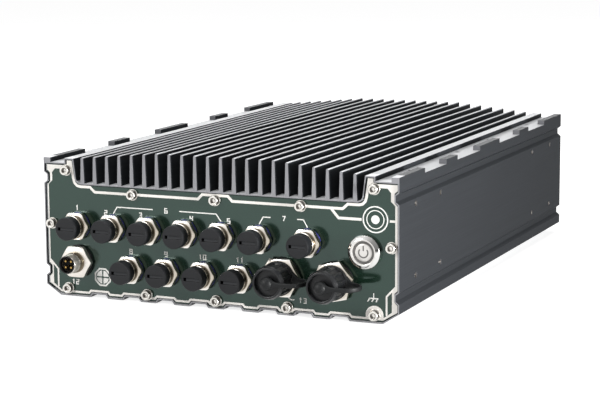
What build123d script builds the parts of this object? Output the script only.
from build123d import *
import os
from math import radians, tan

os.makedirs("parts", exist_ok=True)

# A sealed, fan-less computer: a finned lid and a U-shaped shell, both extruded from front to
# rear and closed by a panel at each end. Millimetres. X runs along the front from left to
# right, the front looks along -Y, Z is up. The origin is the centre of the underside.

# Housing section
body_width = 220.0
body_length = 310.0
seam_height = 72.3
ledge_height = 77.9
rail_height = 80.6
rail_width = 4.5
side_wall = 6.5
floor_thickness = 4.5
corner_run = 9.4
corner_rise = 6.0
foot_groove_count = 8
foot_groove_pitch = 21.5
foot_groove_mouth = 11.8
foot_groove_roof = 9.0
foot_groove_depth = 2.0
side_groove_mouth = 6.6
side_groove_floor = 3.4
side_groove_depth = 2.1
lower_groove_height = 14.65
screw_rib_width = 8.0
screw_rib_rise = 4.0

# Finned lid
channel_inset = 19.7
channel_flare = 1.8
channel_fillet = 3.5
channel_floor = 66.5
base_thickness = 9.0
channel_wall_top = 5.9
shoulder_inset = 8.6
shoulder_underside = 68.6
shoulder_play = 1.5
fin_count = 22
fin_tip = 1.5
fin_root = 2.7
fin_tip_chamfer = 0.35
crown_height = 86.1
crown_flat = 36.4
crown_slope = 5.6
rail_notches = ((19.0, 60.0), (79.5, 115.0))
ledge_hole_inset = 10.5
ledge_hole_places = (30.0, 110.0)
ledge_hole_radius = 1.5
ledge_hole_depth = 7.0

# Threaded fixing holes in each side, two groups of four
fixing_pitch = 40.0
fixing_group_place = 109.0
fixing_group_height = 43.0
fixing_hole_radius = 1.65
fixing_hole_depth = 5.0

# End panels and their seals
rim = 0.7
seal_play = 0.1
seal_width = 1.8
seal_thickness = 0.5
panel_play = 0.5
panel_thickness = 1.5
panel_recess = 0.8

# Cap screws of the panels
screw_shank_radius = 1.45
screw_hole_play = 0.05
screw_head_radius = 2.9
screw_head_height = 3.2
screw_socket = 2.5
screw_socket_depth = 1.4
screw_grip = 8.0
screw_edge = 4.45
floor_screw_inner = 43.9
floor_screw_clearance = 0.6
lid_screw_inset = 14.6
lid_screw_drop = 4.2
base_screw_outer = 52.2
base_screw_drop = 4.7
wall_screw_height = 42.15

# Round ports, each with a screwed-in cap: an even upper row with one more to its right, and a lower
# row between the power inlet and the larger ports
first_column_inset = 21.6
upper_row_inset = 83.4
upper_row_count = 6
single_port_inset = 53.8
upper_row_height = 41.75
lower_row_count = 4
lower_row_height = 18.6
diagram_room = 11.4
sealed_port_room = 2.8
port_barrel_radius = 6.5
port_hex = 15.3
port_hex_height = 3.8
port_collar_radius = 6.9
port_collar_height = 4.0
port_bore_radius = 5.5
port_core_radius = 4.3
port_core_setback = 0.8
port_seal_radius = 7.9
port_seal_thickness = 1.0
port_nut_hex = 17.0
port_nut_thickness = 2.5
port_cap_radius = 6.7
port_cap_height = 6.0
port_cap_sleeve = 6.0
port_cap_sleeve_wall = 0.8
cap_slot_length = 10.0
cap_slot_width = 1.5
cap_slot_depth = 1.5
thread_play = 0.08
insert_play = 0.05
hole_play = 0.1
nut_turn = 30.0

# Power inlet, with pins
inlet_height = 20.9
inlet_seal_radius = 9.6
inlet_seal_thickness = 1.6
inlet_hex = 17.6
inlet_hex_height = 3.2
inlet_step_radius = 7.2
inlet_step_height = 1.5
inlet_barrel_radius = 5.4
inlet_barrel_height = 8.0
inlet_bore_radius = 4.7
inlet_bore_depth = 8.0
inlet_pin_count = 4
inlet_pin_turn = 45.0
inlet_pin_circle_radius = 2.5
inlet_pin_radius = 0.55
inlet_pin_recess = 2.0

# Two larger ports under tethered screw caps
sealed_port_insets = (69.2, 37.5)
sealed_port_height = 21.5
sealed_port_turns = (0.0, 12.0)
sealed_barrel_radius = 8.5
sealed_seal_radius = 11.0
sealed_seal_thickness = 1.6
sealed_hex = 21.0
sealed_hex_height = 3.2
sealed_thread_radius = 8.0
sealed_thread_height = 12.2
sealed_bore_radius = 6.9
sealed_core_recess = 1.0
socket_width = 11.4
socket_height = 4.8
socket_depth = 9.0
tongue_thickness = 1.9
sealed_nut_hex = 21.0
sealed_nut_thickness = 3.0

# Tethered cap and its rubber strap
strap_ring_radius = 9.8
strap_ring_bore = 8.3
strap_ring_thickness = 2.2
strap_band = 1.3
strap_width = 2.4
strap_reach = 12.0
strap_root_width = 9.0
cap_radius = 9.5
cap_running_gap = 0.3
cap_wall = 0.9
cap_lip_radius = 8.6
cap_lip_height = 2.7
cap_shoulder_run = 1.6
cap_dish_radius = 7.3
cap_flute_count = 12
cap_flute_width = 2.2
cap_flute_depth = 0.5
cap_post_radius = 1.6
cap_post_height = 1.4
dome_radius = 3.8
dome_crown = 2.1
dome_rise = 1.8

# Power button
button_inset = 19.8
button_height = 39.0
bezel_radius = 9.4
bezel_height = 3.8
bezel_chamfer = 0.6
bezel_recess_radius = 7.1
bezel_recess_depth = 0.9
button_barrel_radius = 8.0
button_barrel_depth = 12.0
button_bore_radius = 6.3
button_bore_depth = 9.8
ring_bore_radius = 5.0
ring_thickness = 3.6
cap_running_play = 0.08
button_travel = 1.0
button_cap_proud = 0.2
button_flange_radius = 5.7
button_flange_thickness = 1.0
button_stem_radius = 1.5
button_stem_length = 2.6
spring_radius = 4.6
spring_crown = 1.8
spring_rise = 1.2
spring_sheet = 0.25
button_nut_hex = 19.0
button_nut_thickness = 2.5

# Boards and what they carry
port_board_depth = 12.5
port_board_wall_gap = 4.6
port_board_button_gap = 1.1
port_board_rise = 43.5
board_thickness = 1.6
mainboard_size = (160.0, 220.0)
mainboard_height = 47.0
board_pillar_radius = 3.2
board_pillar_insets = (7.0, 12.0)
board_screw_radius = 1.25
board_screw_head_radius = 2.4
board_screw_head_height = 1.6
board_screw_length = 7.0
processor_size = (37.5, 37.5)
processor_thickness = 2.4
processor_place = (0.0, -30.0)
spreader_size = (90.0, 70.0)
spreader_thickness = 4.5
memory_size = (69.6, 30.0, 3.8)
memory_pitch = 36.0
memory_place = -35.0
memory_rear_inset = 39.9
memory_notch = 2.0
memory_notch_place = 7.0
drive_size = (69.9, 100.0, 7.0)
drive_place = (37.0, 20.0)
supply_size = (60.0, 88.0, 22.0)
supply_place = (-33.0, 20.0)
unit_corner = 1.5

# How near a corner lies to the place that it is looked for at
tolerance = 0.01

# Places that follow from the sizes above
half_width = body_width / 2
half_length = body_length / 2
base_underside = channel_floor - base_thickness
channel_mouth = half_width - channel_inset
channel_side = channel_mouth - channel_flare
channel_wall_outer = channel_mouth + channel_wall_top
fin_pitch = 2 * channel_side / fin_count
upper_groove_height = seam_height - side_groove_mouth / 2
panel_inset = rim + panel_play
pocket_depth = panel_recess + panel_thickness + seal_thickness
ledge_hole_x = half_width - ledge_hole_inset
floor_screw_outer = half_width - corner_run - screw_edge - floor_screw_clearance
lid_screw_outer = half_width - lid_screw_inset
rib_top = screw_edge + screw_rib_rise
board_start = panel_recess - half_length + port_board_depth + board_thickness
mainboard_middle = board_start + mainboard_size[1] / 2
mainboard_rear = board_start + mainboard_size[1]

floor_screws = [(x, screw_edge) for x in (-floor_screw_outer, -floor_screw_inner, 0.0)]
floor_screws += [(-x, z) for x, z in floor_screws if x]
wall_screws = [(side * (half_width - screw_edge), wall_screw_height) for side in (-1, 1)]
shoulder_screws = [(side * lid_screw_outer, ledge_height - lid_screw_drop) for side in (-1, 1)]
base_screws = [(x, channel_floor - base_screw_drop) for x in (-base_screw_outer, 0.0, base_screw_outer)]
screw_places = floor_screws + wall_screws + shoulder_screws + base_screws
rear_screw_places = [p for p in floor_screws + shoulder_screws if abs(p[0]) > floor_screw_inner]
rear_screw_places += [p for p in floor_screws + base_screws if p[0] == 0]

pillar_x, pillar_y = [size / 2 - inset for size, inset in zip(mainboard_size, board_pillar_insets)]
board_pillars = [
    (side * pillar_x, mainboard_middle + end * pillar_y) for side in (-1, 1) for end in (-1, 1)
]

# Places on the front panel, as (X, Z)
first_column = first_column_inset - half_width
inlet_place = (first_column, inlet_height)
button_place = (half_width - button_inset, button_height)
sealed_port_places = [(half_width - inset, sealed_port_height) for inset in sealed_port_insets]
upper_pitch = (half_width - upper_row_inset - first_column) / (upper_row_count - 1)
lower_start = first_column + diagram_room
lower_end = sealed_port_places[0][0] - sealed_port_room
lower_pitch = (lower_end - lower_start) / (lower_row_count + 1)
port_places = [(first_column + step * upper_pitch, upper_row_height) for step in range(upper_row_count)]
port_places += [(half_width - single_port_inset, upper_row_height)]
port_places += [
    (lower_start + (step + 1) * lower_pitch, lower_row_height) for step in range(lower_row_count)
]
port_board_left = side_wall + port_board_wall_gap - half_width
port_board_right = button_place[0] - button_barrel_radius - port_board_button_gap


def section_plane(depth=0.0):
    """Upright plane seen from the front, that far behind the front rim."""
    return Plane(origin=(0, depth - half_length, 0), x_dir=(1, 0, 0), z_dir=(0, -1, 0))


def rear_plane(depth=0.0):
    """Upright plane that far in front of the rear rim, with the same X and Z as the front."""
    return Plane(origin=(0, half_length - depth, 0), x_dir=(1, 0, 0), z_dir=(0, -1, 0))


def seat(place, height=0.0):
    """Plane on the front panel's face at an (X, Z) place, raised outwards by a height."""
    x, z = place
    return Plane(origin=(x, panel_recess - half_length - height, z), x_dir=(1, 0, 0), z_dir=(0, -1, 0))


def both_sides(half_outline):
    """Closes a half outline, given from the middle outwards, with its mirror image."""
    return list(half_outline) + [(-x, z) for x, z in reversed(half_outline) if x > 0]


def save(piece, name):
    """Labels a finished piece and writes it."""
    piece.part.label = name
    export_step(piece.part, f"parts/{name}.step")


def cut_side_grooves():
    """Two lengthwise grooves in each side of the housing section."""
    groove = [
        (0, -side_groove_mouth / 2),
        (0, side_groove_mouth / 2),
        (-side_groove_depth, side_groove_floor / 2),
        (-side_groove_depth, -side_groove_floor / 2),
    ]
    for height in (lower_groove_height, upper_groove_height):
        with Locations((half_width, height)):
            Polygon(*groove, align=None, mode=Mode.SUBTRACT)
        with Locations((-half_width, height)):
            Polygon(*[(-x, z) for x, z in groove], align=None, mode=Mode.SUBTRACT)


def cut_foot_grooves():
    """Shallow lengthwise grooves that leave feet between them on the underside."""
    with GridLocations(foot_groove_pitch, 1, foot_groove_count, 1):
        Polygon(
            (-foot_groove_mouth / 2, 0),
            (foot_groove_mouth / 2, 0),
            (foot_groove_roof / 2, foot_groove_depth),
            (-foot_groove_roof / 2, foot_groove_depth),
            align=None,
            mode=Mode.SUBTRACT,
        )


def round_channel_corners(sketch):
    """Rounds the two corners where the lid's channel meets its side walls."""
    corners = [
        v
        for v in sketch.vertices()
        if abs(abs(v.X) - channel_side) < tolerance and abs(v.Y - channel_floor) < tolerance
    ]
    fillet(corners, channel_fillet)


def housing_outline(plane, inset):
    """The housing's outer section without fins and rails, drawn in by an inset."""
    with BuildSketch(plane) as outline:
        with BuildLine():
            Polyline(
                *both_sides(
                    [
                        (half_width - corner_run, 0),
                        (half_width, corner_rise),
                        (half_width, ledge_height),
                        (channel_wall_outer, ledge_height),
                        (channel_wall_outer, rail_height),
                        (channel_mouth, rail_height),
                        (channel_side, channel_floor),
                    ]
                ),
                close=True,
            )
        make_face()
        round_channel_corners(outline)
        cut_side_grooves()
        cut_foot_grooves()
        offset(amount=-inset, kind=Kind.INTERSECTION, mode=Mode.REPLACE)
    return outline.sketch


def cut_end_pockets():
    """Recess in both ends for a seal and a panel, inside a thin rim."""
    extrude(housing_outline(section_plane(), rim), amount=-pocket_depth, mode=Mode.SUBTRACT)
    extrude(housing_outline(rear_plane(), rim), amount=pocket_depth, mode=Mode.SUBTRACT)


def cut_screw_channels(places):
    """Channels along the whole extrusion, which the screws of both end panels cut into."""
    with BuildSketch(section_plane()) as channels:
        with Locations(*places):
            Circle(screw_shank_radius + screw_hole_play)
    extrude(channels.sketch, amount=-body_length, mode=Mode.SUBTRACT)


# Finned lid: fins with a crowned top between two walls, ledges outside, notched rails
with BuildPart() as finned_lid:
    with BuildSketch(section_plane()) as lid_section:
        shoulder_edge = half_width - side_wall - shoulder_play
        with BuildLine():
            Polyline(
                *both_sides(
                    [
                        (half_width - side_wall - shoulder_inset, base_underside),
                        (half_width - side_wall - shoulder_inset, shoulder_underside),
                        (shoulder_edge, shoulder_underside),
                        (shoulder_edge, seam_height),
                        (half_width, seam_height),
                        (half_width, rail_height),
                        (half_width - rail_width, rail_height),
                        (half_width - rail_width, ledge_height),
                        (channel_wall_outer, ledge_height),
                        (channel_wall_outer, rail_height),
                        (channel_mouth, rail_height),
                        (channel_side, channel_floor),
                    ]
                ),
                close=True,
            )
        make_face()
        round_channel_corners(lid_section)
        for step in range(fin_count):
            fin_x = (step - (fin_count - 1) / 2) * fin_pitch
            fin_top = crown_height - max(abs(fin_x) - crown_flat, 0) * tan(radians(crown_slope))
            with Locations((fin_x, channel_floor)):
                Polygon(
                    (-fin_root / 2, -fin_tip),
                    (fin_root / 2, -fin_tip),
                    (fin_tip / 2, fin_top - channel_floor),
                    (-fin_tip / 2, fin_top - channel_floor),
                    align=None,
                )
        tips = [v for v in lid_section.vertices() if v.Y > rail_height + fin_tip_chamfer]
        chamfer(tips, fin_tip_chamfer)
    extrude(amount=-body_length)
    cut_end_pockets()
    with BuildSketch(Plane.XY.offset(rail_height)):
        for side in (-1, 1):
            for start, end in rail_notches:
                with Locations(
                    (side * (half_width - rail_width / 2), (start + end) / 2),
                    (side * (half_width - rail_width / 2), -(start + end) / 2),
                ):
                    Rectangle(rail_width, end - start)
    extrude(amount=ledge_height - rail_height, mode=Mode.SUBTRACT)
    with BuildSketch(Plane.XY.offset(ledge_height)):
        for y in ledge_hole_places:
            with GridLocations(2 * ledge_hole_x, 2 * y, 2, 2):
                Circle(ledge_hole_radius)
    extrude(amount=-ledge_hole_depth, mode=Mode.SUBTRACT)
    cut_screw_channels(shoulder_screws + base_screws)
    # Pillars under the base that carry the mainboard
    with BuildSketch(Plane.XY.offset(base_underside)):
        with Locations(*board_pillars):
            Circle(board_pillar_radius)
    extrude(amount=mainboard_height + board_thickness - base_underside)
    with BuildSketch(Plane.XY.offset(mainboard_height + board_thickness)):
        with Locations(*board_pillars):
            Circle(board_screw_radius + screw_hole_play)
    extrude(amount=board_screw_length, mode=Mode.SUBTRACT)
save(finned_lid, "finned_lid")

# Chassis shell: a U-shaped extrusion with screw ribs, grooves and side fixing holes
with BuildPart() as chassis_shell:
    with BuildSketch(section_plane()) as shell_section:
        with BuildLine():
            Polyline(
                *both_sides(
                    [
                        (half_width - corner_run, 0),
                        (half_width, corner_rise),
                        (half_width, seam_height),
                        (half_width - side_wall, seam_height),
                        (half_width - side_wall, floor_thickness),
                    ]
                ),
                close=True,
            )
        make_face()
        cut_side_grooves()
        cut_foot_grooves()
        with Locations(*[(x, floor_thickness) for x, z in floor_screws]):
            Rectangle(screw_rib_width, rib_top - floor_thickness, align=(Align.CENTER, Align.MIN))
        with Locations(*wall_screws):
            Circle(screw_rib_rise)
    extrude(amount=-body_length)
    cut_end_pockets()
    cut_screw_channels(floor_screws + wall_screws)
    for side in (-1, 1):
        side_face = Plane(origin=(side * half_width, 0, 0), x_dir=(0, side, 0), z_dir=(side, 0, 0))
        with BuildSketch(side_face):
            for group in (-1, 1):
                with Locations((group * fixing_group_place, fixing_group_height)):
                    with GridLocations(fixing_pitch, fixing_pitch, 2, 2):
                        Circle(fixing_hole_radius)
        extrude(amount=-fixing_hole_depth, mode=Mode.SUBTRACT)
save(chassis_shell, "chassis_shell")


def cap_screws(plane, places, outward):
    """Socket-head screws standing on a panel face and reaching into the housing."""
    with BuildPart() as screws:
        with BuildSketch(plane) as heads:
            with Locations(*places):
                Circle(screw_head_radius)
        extrude(heads.sketch, amount=outward * screw_head_height)
        with BuildSketch(plane) as shanks:
            with Locations(*places):
                Circle(screw_shank_radius)
        extrude(shanks.sketch, amount=-outward * (panel_thickness + seal_thickness + screw_grip))
        with BuildSketch(plane.offset(outward * screw_head_height)) as sockets:
            with Locations(*places):
                RegularPolygon(screw_socket / 2, 6, major_radius=False)
        extrude(sockets.sketch, amount=-outward * screw_socket_depth, mode=Mode.SUBTRACT)
    return screws


def rings(plane, places, outer, inner, thickness):
    """Flat rings of one size at several places."""
    with BuildPart() as group:
        with BuildSketch(plane):
            with Locations(*places):
                Circle(outer)
                Circle(inner, mode=Mode.SUBTRACT)
        extrude(amount=thickness)
    return group


def nuts(places, width, bore, thickness):
    """Hexagon nuts clamped against the front panel's inner face."""
    with BuildPart() as group:
        with BuildSketch(seat((0, 0), -panel_thickness)):
            with Locations(*places):
                RegularPolygon(width / 2, 6, major_radius=False, rotation=nut_turn)
                Circle(bore, mode=Mode.SUBTRACT)
        extrude(amount=-thickness)
    return group


# Front panel, drilled for everything that passes through it
panel_holes = [(place, port_barrel_radius) for place in port_places]
panel_holes += [(place, sealed_barrel_radius) for place in sealed_port_places]
panel_holes += [(inlet_place, inlet_barrel_radius), (button_place, button_barrel_radius)]
panel_holes += [(place, screw_shank_radius) for place in screw_places]
with BuildPart() as front_panel:
    extrude(housing_outline(section_plane(panel_recess), panel_inset), amount=-panel_thickness)
    with BuildSketch(section_plane(panel_recess)):
        for place, radius in panel_holes:
            with Locations(place):
                Circle(radius + hole_play)
    extrude(amount=-panel_thickness, mode=Mode.SUBTRACT)
save(front_panel, "front_panel")

# Rear panel, plain but for its screws
with BuildPart() as rear_panel:
    extrude(housing_outline(rear_plane(panel_recess), panel_inset), amount=panel_thickness)
    with BuildSketch(rear_plane(panel_recess)):
        with Locations(*rear_screw_places):
            Circle(screw_shank_radius + hole_play)
    extrude(amount=panel_thickness, mode=Mode.SUBTRACT)
save(rear_panel, "rear_panel")

# Panel seals, narrow rings that follow the rim outside the screws
panel_back = panel_recess + panel_thickness
for name, plane, inward in (
    ("front_seal", section_plane(panel_back), -1),
    ("rear_seal", rear_plane(panel_back), 1),
):
    with BuildPart() as panel_seal:
        outer_edge = housing_outline(plane, rim + seal_play)
        inner_edge = housing_outline(plane, rim + seal_play + seal_width)
        extrude(outer_edge, amount=inward * seal_thickness)
        extrude(inner_edge, amount=inward * seal_thickness, mode=Mode.SUBTRACT)
    save(panel_seal, name)

save(cap_screws(seat((0, 0)), screw_places, 1), "front_screws")
save(cap_screws(rear_plane(panel_recess), rear_screw_places, -1), "rear_screws")

# Round ports: a hexagon flange in front, a collar that takes the cap, a barrel behind
port_hex_top = port_seal_thickness + port_hex_height
port_collar_top = port_hex_top + port_collar_height
with BuildPart() as port_shells:
    with BuildSketch(seat((0, 0), port_seal_thickness)):
        with Locations(*port_places):
            RegularPolygon(port_hex / 2, 6, major_radius=False)
    extrude(amount=port_hex_height)
    with BuildSketch(seat((0, 0), port_hex_top)):
        with Locations(*port_places):
            Circle(port_collar_radius)
    extrude(amount=port_collar_height)
    with BuildSketch(seat((0, 0), port_seal_thickness)):
        with Locations(*port_places):
            Circle(port_barrel_radius)
    extrude(amount=-(port_seal_thickness + port_board_depth))
    with BuildSketch(seat((0, 0), port_collar_top)):
        with Locations(*port_places):
            Circle(port_bore_radius)
    extrude(amount=-(port_collar_top + port_board_depth), mode=Mode.SUBTRACT)
save(port_shells, "port_shells")

# Caps with a coin slot; each has a threaded sleeve that goes round the port's contact core
for number, place in enumerate(port_places, 1):
    with BuildPart() as port_cap:
        with BuildSketch(seat(place, port_collar_top)):
            Circle(port_cap_radius)
        extrude(amount=port_cap_height)
        with BuildSketch(seat(place, port_collar_top + port_cap_height)):
            Rectangle(cap_slot_length, cap_slot_width)
        extrude(amount=-cap_slot_depth, mode=Mode.SUBTRACT)
        with BuildSketch(seat(place, port_collar_top)):
            Circle(port_bore_radius - thread_play)
            Circle(port_bore_radius - thread_play - port_cap_sleeve_wall, mode=Mode.SUBTRACT)
        extrude(amount=-port_cap_sleeve)
    save(port_cap, f"port_cap_{number}")

port_seals = rings(
    seat((0, 0)), port_places, port_seal_radius, port_barrel_radius + hole_play, port_seal_thickness
)
save(port_seals, "port_seals")
save(nuts(port_places, port_nut_hex, port_barrel_radius + thread_play, port_nut_thickness), "port_nuts")

# Contact inserts, which stand on the port board and reach into the collars
with BuildPart() as port_inserts:
    with BuildSketch(seat((0, 0), -port_board_depth)):
        with Locations(*port_places):
            Circle(port_core_radius)
    extrude(amount=port_board_depth + port_collar_top - port_core_setback)
save(port_inserts, "port_inserts")

# Power inlet: hexagon flange, step and open barrel with four pins in it
inlet_hex_top = inlet_seal_thickness + inlet_hex_height
inlet_mouth = inlet_hex_top + inlet_step_height + inlet_barrel_height
with BuildPart() as inlet_shell:
    with BuildSketch(seat(inlet_place, inlet_seal_thickness)):
        RegularPolygon(inlet_hex / 2, 6, major_radius=False)
    extrude(amount=inlet_hex_height)
    with BuildSketch(seat(inlet_place, inlet_hex_top)):
        Circle(inlet_step_radius)
    extrude(amount=inlet_step_height)
    with BuildSketch(seat(inlet_place, -port_board_depth)):
        Circle(inlet_barrel_radius)
    extrude(amount=port_board_depth + inlet_mouth)
    with BuildSketch(seat(inlet_place, inlet_mouth)):
        Circle(inlet_bore_radius)
    extrude(amount=-(inlet_mouth + port_board_depth), mode=Mode.SUBTRACT)
save(inlet_shell, "inlet_shell")

inlet_seal = rings(
    seat(inlet_place), [(0, 0)], inlet_seal_radius, inlet_barrel_radius + hole_play, inlet_seal_thickness
)
save(inlet_seal, "inlet_seal")
save(nuts([inlet_place], port_nut_hex, inlet_barrel_radius + thread_play, port_nut_thickness), "inlet_nut")

insert_face = inlet_mouth - inlet_bore_depth
with BuildPart() as inlet_insert:
    with BuildSketch(seat(inlet_place, -port_board_depth)):
        Circle(inlet_bore_radius - insert_play)
        with PolarLocations(inlet_pin_circle_radius, inlet_pin_count, inlet_pin_turn):
            Circle(inlet_pin_radius + insert_play, mode=Mode.SUBTRACT)
    extrude(amount=port_board_depth + insert_face)
save(inlet_insert, "inlet_insert")
with BuildPart() as inlet_pins:
    with BuildSketch(seat(inlet_place, -port_board_depth)):
        with PolarLocations(inlet_pin_circle_radius, inlet_pin_count, inlet_pin_turn):
            Circle(inlet_pin_radius)
    extrude(amount=port_board_depth + inlet_mouth - inlet_pin_recess)
save(inlet_pins, "inlet_pins")


def turning_plane(place):
    """Plane for a turned piece's half profile: X is the radius, Y the height above the panel."""
    x, z = place
    return Plane(origin=(x, panel_recess - half_length, z), x_dir=(1, 0, 0), z_dir=(0, 0, -1))


def turned(place, profile):
    """Solid of revolution about the line through a place at right angles to the panel."""
    plane = turning_plane(place)
    with BuildPart() as piece:
        with BuildSketch(plane) as half:
            with BuildLine():
                Polyline(*profile, close=True)
            make_face()
        revolve(half.sketch, axis=Axis(plane.origin, plane.y_dir))
    return piece


# Larger ports, their screw caps and the rubber straps that keep the caps
sealed_hex_top = sealed_seal_thickness + sealed_hex_height
sealed_mouth = sealed_hex_top + sealed_thread_height
strap_ring_top = sealed_hex_top + strap_ring_thickness
cap_base = strap_ring_top + cap_running_gap
cap_ceiling = sealed_mouth + cap_running_gap
dish_floor = cap_ceiling + cap_wall
cap_top = dish_floor + cap_lip_height
strap_low = sealed_hex_top + strap_ring_thickness / 2
strap_high = cap_top + cap_running_gap + strap_band / 2
strap_bend = (strap_high - strap_low) / 2
dome_base = dish_floor + cap_running_gap
post_top = dish_floor + cap_post_height
for number, (place, turn) in enumerate(zip(sealed_port_places, sealed_port_turns), 1):
    with BuildPart() as sealed_shell:
        with BuildSketch(seat(place, sealed_seal_thickness)):
            RegularPolygon(sealed_hex / 2, 6, major_radius=False, rotation=turn)
        extrude(amount=sealed_hex_height)
        with BuildSketch(seat(place, sealed_hex_top)):
            Circle(sealed_thread_radius)
        extrude(amount=sealed_thread_height)
        with BuildSketch(seat(place, sealed_seal_thickness)):
            Circle(sealed_barrel_radius)
        extrude(amount=-(sealed_seal_thickness + port_board_depth))
        with BuildSketch(seat(place, sealed_mouth)):
            Circle(sealed_bore_radius)
        extrude(amount=-(sealed_mouth + port_board_depth), mode=Mode.SUBTRACT)
    save(sealed_shell, f"sealed_port_shell_{number}")

    # Screw cap: fluted grip, sloping shoulder, dished front with a post for the strap
    with BuildPart() as sealed_cap:
        with BuildSketch(seat(place, cap_base)):
            Circle(cap_radius)
            with PolarLocations(cap_radius, cap_flute_count):
                Rectangle(2 * cap_flute_depth, cap_flute_width, mode=Mode.SUBTRACT)
        extrude(amount=cap_top - cap_shoulder_run - cap_base)
        with BuildSketch(seat(place, cap_top - cap_shoulder_run)):
            Circle(cap_radius)
        with BuildSketch(seat(place, cap_top)):
            Circle(cap_lip_radius)
        loft()
        with BuildSketch(seat(place, dish_floor)):
            Circle(cap_dish_radius)
        extrude(amount=cap_lip_height, mode=Mode.SUBTRACT)
        with BuildSketch(seat(place, dish_floor)):
            Circle(cap_post_radius)
        extrude(amount=cap_post_height)
        with BuildSketch(seat(place, cap_base)):
            Circle(sealed_thread_radius + thread_play)
        extrude(amount=cap_ceiling - cap_base, mode=Mode.SUBTRACT)
    save(sealed_cap, f"sealed_cap_{number}")

    # Strap: a ring round the port, a tapered root, a bend, and a dome over the cap's post
    root = (strap_ring_radius + strap_ring_bore) / 2
    dome_edge = strap_high + strap_band / 2
    with BuildPart() as cap_strap:
        with BuildSketch(seat(place, sealed_hex_top)):
            Circle(strap_ring_radius)
            Polygon(
                (root, -strap_root_width / 2),
                (strap_reach, -strap_width / 2),
                (strap_reach, strap_width / 2),
                (root, strap_root_width / 2),
                align=None,
            )
            Circle(strap_ring_bore, mode=Mode.SUBTRACT)
        extrude(amount=strap_ring_thickness)
        with BuildSketch(turning_plane(place)):
            with BuildLine():
                Line((root, strap_low - strap_band / 2), (strap_reach, strap_low - strap_band / 2))
                ThreePointArc(
                    (strap_reach, strap_low - strap_band / 2),
                    (strap_reach + strap_bend + strap_band / 2, strap_low + strap_bend),
                    (strap_reach, strap_high + strap_band / 2),
                )
                Line((strap_reach, strap_high + strap_band / 2), (0, strap_high + strap_band / 2))
                Line((0, strap_high + strap_band / 2), (0, strap_high - strap_band / 2))
                Line((0, strap_high - strap_band / 2), (strap_reach, strap_high - strap_band / 2))
                ThreePointArc(
                    (strap_reach, strap_high - strap_band / 2),
                    (strap_reach + strap_bend - strap_band / 2, strap_low + strap_bend),
                    (strap_reach, strap_low + strap_band / 2),
                )
                Line((strap_reach, strap_low + strap_band / 2), (root, strap_low + strap_band / 2))
                Line((root, strap_low + strap_band / 2), (root, strap_low - strap_band / 2))
            make_face()
        extrude(amount=strap_width / 2, both=True)
        with BuildSketch(turning_plane(place)) as dome_half:
            Polygon(
                (0, dome_base),
                (dome_radius, dome_base),
                (dome_radius, dome_edge),
                (dome_crown, dome_edge + dome_rise),
                (0, dome_edge + dome_rise),
                align=None,
            )
        revolve(dome_half.sketch, axis=Axis(turning_plane(place).origin, turning_plane(place).y_dir))
        with BuildSketch(seat(place, dome_base)):
            Circle(cap_post_radius + thread_play)
        extrude(amount=post_top + cap_running_gap - dome_base, mode=Mode.SUBTRACT)
    save(cap_strap, f"cap_strap_{number}")

sealed_seals = rings(
    seat((0, 0)),
    sealed_port_places,
    sealed_seal_radius,
    sealed_barrel_radius + hole_play,
    sealed_seal_thickness,
)
save(sealed_seals, "sealed_port_seals")
sealed_nuts = nuts(
    sealed_port_places, sealed_nut_hex, sealed_barrel_radius + thread_play, sealed_nut_thickness
)
save(sealed_nuts, "sealed_port_nuts")

# Socket inserts with a contact tongue
insert_front = sealed_mouth - sealed_core_recess
with BuildPart() as sealed_inserts:
    with BuildSketch(seat((0, 0), -port_board_depth)):
        with Locations(*sealed_port_places):
            Circle(sealed_bore_radius - insert_play)
    extrude(amount=port_board_depth + insert_front)
    with BuildSketch(seat((0, 0), insert_front)):
        with Locations(*sealed_port_places):
            Rectangle(socket_width, socket_height)
            Rectangle(socket_width - tongue_thickness, tongue_thickness, mode=Mode.SUBTRACT)
    extrude(amount=-socket_depth, mode=Mode.SUBTRACT)
save(sealed_inserts, "sealed_port_inserts")

# Power button: bezel and barrel in one piece, light ring, sprung cap
button_floor = bezel_height - button_bore_depth
ring_top = bezel_height - bezel_recess_depth
ring_base = ring_top - ring_thickness
button_housing = turned(
    button_place,
    [
        (0, -button_barrel_depth),
        (button_barrel_radius, -button_barrel_depth),
        (button_barrel_radius, 0),
        (bezel_radius, 0),
        (bezel_radius, bezel_height - bezel_chamfer),
        (bezel_radius - bezel_chamfer, bezel_height),
        (bezel_recess_radius, bezel_height),
        (button_bore_radius, ring_top),
        (button_bore_radius, button_floor),
        (0, button_floor),
    ],
)
save(button_housing, "button_housing")
ring_outer_radius = button_bore_radius - insert_play
button_ring = rings(
    seat(button_place, ring_base), [(0, 0)], ring_outer_radius, ring_bore_radius, ring_thickness
)
save(button_ring, "button_ring")
flange_base = ring_base - button_flange_thickness
button_cap = turned(
    button_place,
    [
        (0, flange_base - button_stem_length),
        (button_stem_radius, flange_base - button_stem_length),
        (button_stem_radius, flange_base),
        (button_flange_radius, flange_base),
        (button_flange_radius, ring_base),
        (ring_bore_radius - cap_running_play, ring_base),
        (ring_bore_radius - cap_running_play, ring_top + button_cap_proud),
        (0, ring_top + button_cap_proud),
    ],
)
save(button_cap, "button_cap")
button_nut = nuts(
    [button_place], button_nut_hex, button_barrel_radius + thread_play, button_nut_thickness
)
save(button_nut, "button_nut")

# Return spring: a coned sheet disc between the barrel's floor and the cap's stem
button_spring = turned(
    button_place,
    [
        (spring_radius, button_floor),
        (spring_radius, button_floor + spring_sheet),
        (spring_crown, button_floor + spring_rise + spring_sheet),
        (0, button_floor + spring_rise + spring_sheet),
        (0, button_floor + spring_rise),
        (spring_crown, button_floor + spring_rise),
    ],
)
save(button_spring, "button_spring")

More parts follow.
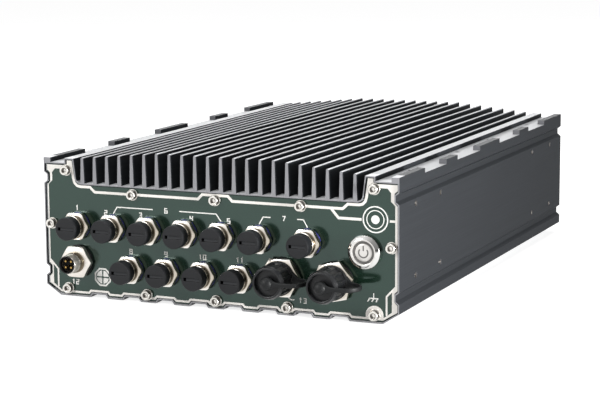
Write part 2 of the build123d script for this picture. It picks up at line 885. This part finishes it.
# Port board, upright behind the ports, standing on the floor ribs
with BuildPart() as port_board:
    with BuildSketch(seat((port_board_left, rib_top), -port_board_depth)):
        Rectangle(port_board_right - port_board_left, port_board_rise, align=Align.MIN)
    extrude(amount=-board_thickness)
save(port_board, "port_board")

# Mainboard, hung from the lid's pillars with its front edge against the port board
with BuildPart() as mainboard:
    with BuildSketch(Plane.XY.offset(mainboard_height)):
        with Locations((0, mainboard_middle)):
            Rectangle(*mainboard_size)
        with Locations(*board_pillars):
            Circle(board_screw_radius + hole_play, mode=Mode.SUBTRACT)
    extrude(amount=board_thickness)
save(mainboard, "mainboard")

with BuildPart() as board_screws:
    with BuildSketch(Plane.XY.offset(mainboard_height)) as board_heads:
        with Locations(*board_pillars):
            Circle(board_screw_head_radius)
    extrude(board_heads.sketch, amount=-board_screw_head_height)
    with BuildSketch(Plane.XY.offset(mainboard_height)) as board_shanks:
        with Locations(*board_pillars):
            Circle(board_screw_radius)
    extrude(board_shanks.sketch, amount=board_screw_length)
save(board_screws, "board_screws")

# Processor and the spreader that carries its heat into the lid's base
processor_base = mainboard_height + board_thickness
with BuildPart() as processor:
    with BuildSketch(Plane.XY.offset(processor_base)):
        with Locations(processor_place):
            Rectangle(*processor_size)
    extrude(amount=processor_thickness)
save(processor, "processor")
with BuildPart() as heat_spreader:
    with BuildSketch(Plane.XY.offset(base_underside)):
        with Locations(processor_place):
            Rectangle(*spreader_size)
    extrude(amount=-spreader_thickness)
    with BuildSketch(Plane.XY.offset(base_underside - spreader_thickness)):
        with Locations(processor_place):
            Rectangle(*processor_size)
    extrude(amount=processor_base + processor_thickness - base_underside + spreader_thickness)
save(heat_spreader, "heat_spreader")

# Two memory modules, flat under the mainboard, each with its keying notch
with BuildPart() as memory_modules:
    with BuildSketch(Plane.XY.offset(mainboard_height)):
        with Locations((memory_place, mainboard_rear - memory_rear_inset)):
            with GridLocations(1, memory_pitch, 1, 2):
                Rectangle(memory_size[0], memory_size[1])
                with Locations((memory_notch_place, memory_size[1] / 2)):
                    Rectangle(memory_notch, 2 * memory_notch, mode=Mode.SUBTRACT)
    extrude(amount=-memory_size[2])
save(memory_modules, "memory_modules")

# Storage drive and power module, on the floor ribs
for name, size, place in (
    ("storage_drive", drive_size, drive_place),
    ("power_module", supply_size, supply_place),
):
    with BuildPart() as floor_unit:
        with BuildSketch(Plane.XY.offset(rib_top)):
            with Locations(place):
                Rectangle(size[0], size[1])
        extrude(amount=size[2])
        chamfer(floor_unit.edges().filter_by(Axis.Z), unit_corner)
    save(floor_unit, name)
